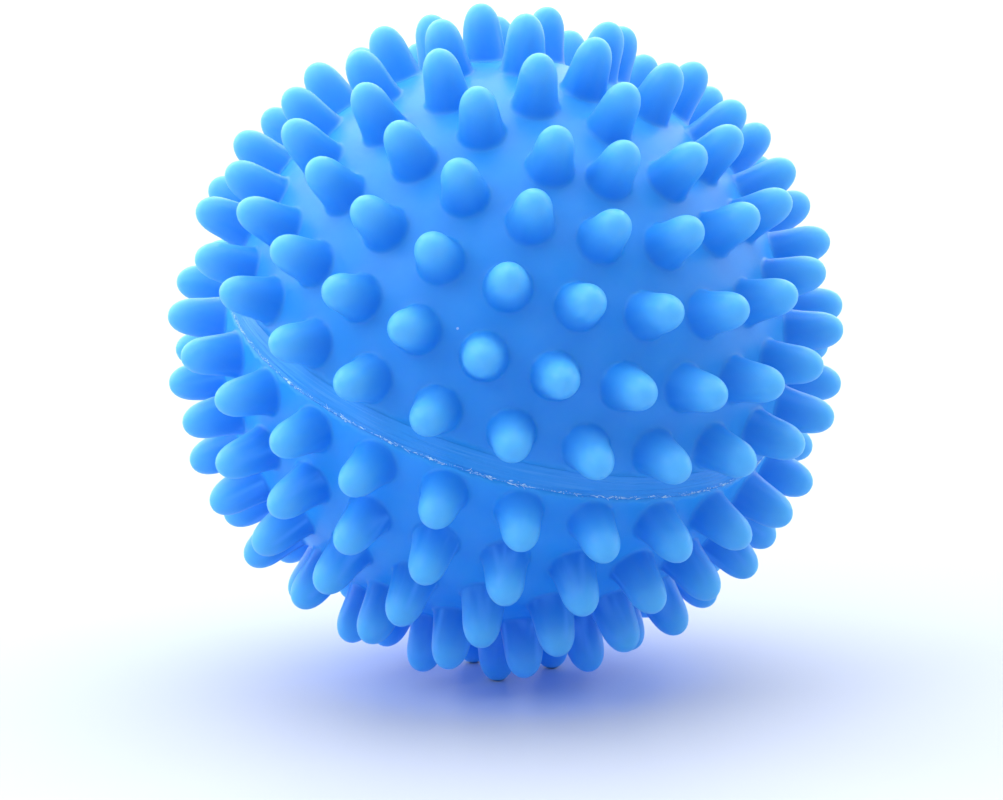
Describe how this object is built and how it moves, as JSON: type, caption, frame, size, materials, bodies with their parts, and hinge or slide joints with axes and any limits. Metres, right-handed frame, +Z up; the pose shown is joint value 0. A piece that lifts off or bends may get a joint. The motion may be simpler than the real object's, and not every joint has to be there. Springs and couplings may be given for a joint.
{
  "type": "dryer ball",
  "caption": "Hollow soft-vinyl laundry dryer ball covered in short rounded nubs, two half shells welded round the middle.",
  "frame": {"origin": "the point of the floor directly below the ball's centre, as the ball lies on three nub tips", "axes": "+Z up; -Y faces the viewer; the mould axis leans 22 degrees from +Z towards +X and -Y"},
  "size_m": [0.0695, 0.0694, 0.0695],
  "materials": {
    "vinyl": "soft satin azure vinyl, slightly translucent",
    "trimmed_vinyl": "trimmed weld flash of the same vinyl, finely ridged and torn in places",
    "plug_vinyl": "soft satin azure vinyl"
  },
  "bodies": {
    "root": {"upper_half_shell": "vinyl", "lower_half_shell": "vinyl", "weld_band": "trimmed_vinyl", "inner_weld_bead": "trimmed_vinyl", "air_plug": "plug_vinyl"}
  },
  "joints": []
}
